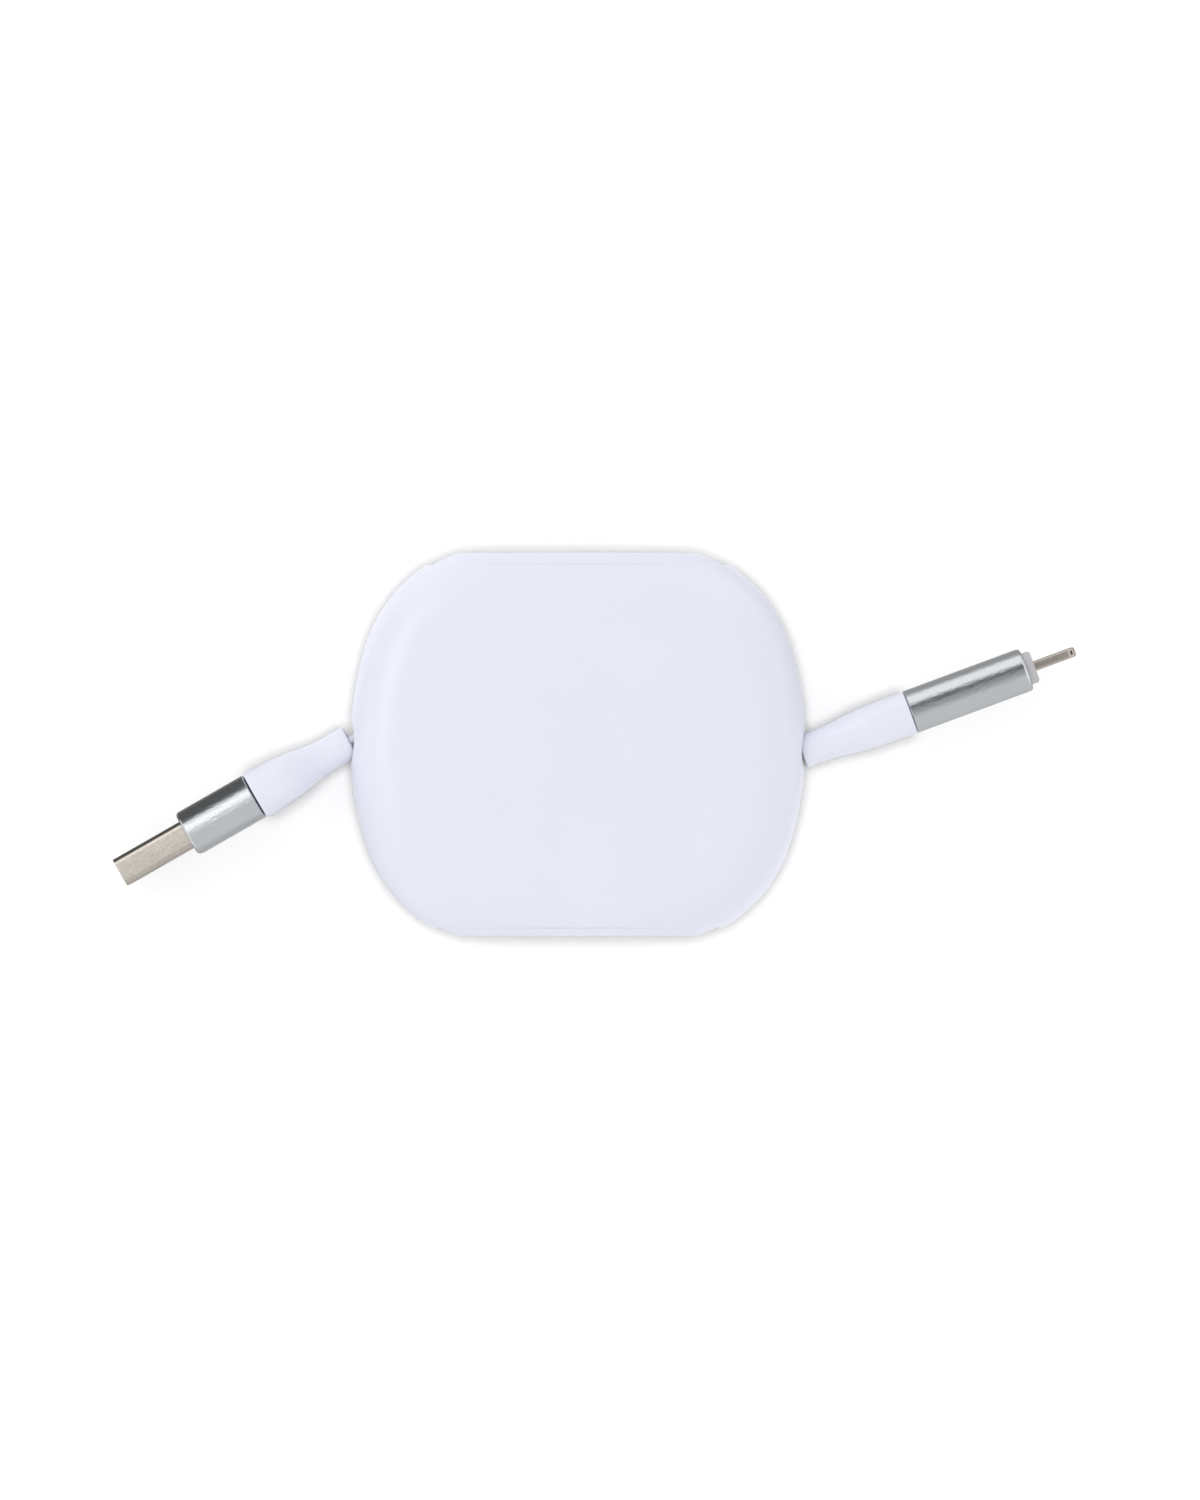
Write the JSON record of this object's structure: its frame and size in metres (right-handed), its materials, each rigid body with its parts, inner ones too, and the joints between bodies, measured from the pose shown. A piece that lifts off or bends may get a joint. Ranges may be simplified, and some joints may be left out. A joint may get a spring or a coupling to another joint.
{
  "type": "retractable charging cable",
  "caption": "Pale pebble-shaped reel case that winds in a flat cable from both sides, with a rectangular charger plug on the left and a slim phone plug on the right.",
  "frame": {"origin": "middle of the flat rear face, on the reel's axis", "axes": "+Z out of the front cover along the reel's axis, +X towards the phone plug's side, +Y towards the end wall that is uppermost in the picture"},
  "size_m": [0.1478, 0.0586, 0.016],
  "materials": {
    "case_plastic": "fine matte, pale lavender white",
    "boot_plastic": "fine matte, pale lavender white",
    "cable_jacket": "soft satin jacket",
    "reel_plastic": "plain moulded",
    "pawl_plastic": "self-lubricating moulded",
    "spring_steel": "rolled strip",
    "sleeve_aluminium": "fine satin, anodised",
    "core_plastic": "plain moulded",
    "nose_steel": "nickel plated, satin",
    "tongue_plastic": "smooth moulded",
    "gold_contacts": "gold plated",
    "collar_plastic": "fine matte, light grey",
    "tab_nickel": "nickel plated, satin",
    "insert_plastic": "plain moulded",
    "board_laminate": "solder resist"
  },
  "bodies": {
    "case": {"front_cover": "case_plastic", "rear_cover": "case_plastic"},
    "reel": {"reel": "reel_plastic", "reel_cap": "reel_plastic", "power_spring": "spring_steel", "wound_cable": "cable_jacket"},
    "pawl": {"ratchet_pawl": "pawl_plastic"},
    "charger_plug": {"charger_lead": "cable_jacket", "charger_boot": "boot_plastic", "charger_sleeve": "sleeve_aluminium", "charger_core": "core_plastic", "charger_shell": "nose_steel", "charger_tongue": "tongue_plastic", "charger_contacts": "gold_contacts"},
    "phone_plug": {"phone_lead": "cable_jacket", "phone_boot": "boot_plastic", "phone_sleeve": "sleeve_aluminium", "phone_core": "collar_plastic", "phone_tab": "tab_nickel", "phone_insert": "insert_plastic", "phone_contacts": "gold_contacts", "phone_board": "board_laminate"}
  },
  "joints": [
    {"name": "reel_turn", "type": "hinge", "parent": "case", "child": "reel", "pos_m": [0, 0, 0.008], "axis": [0, 0, 1], "range_deg": [0, 1620], "stiffness_Nm_per_rad": 0.0002, "springref_deg": -1080.03, "deforming": ["wound_cable", "power_spring"]},
    {"name": "pawl_swing", "type": "hinge", "parent": "case", "child": "pawl", "pos_m": [-0.01034, -0.00376, 0.0023], "axis": [0, 0, 1], "range_deg": [-15, 0]},
    {"name": "charger_pull", "type": "slide", "parent": "case", "child": "charger_plug", "axis": [-0.8678, -0.497, 0], "range_m": [0, 0.4602], "deforming": ["charger_lead"]},
    {"name": "phone_pull", "type": "slide", "parent": "case", "child": "phone_plug", "axis": [0.9379, 0.3469, 0], "range_m": [0, 0.4602], "deforming": ["phone_lead"]}
  ],
  "couplings": [
    {"joint": "charger_pull", "follows": "reel_turn", "m_per_rad": 0.01627},
    {"joint": "phone_pull", "follows": "reel_turn", "m_per_rad": 0.01627}
  ]
}
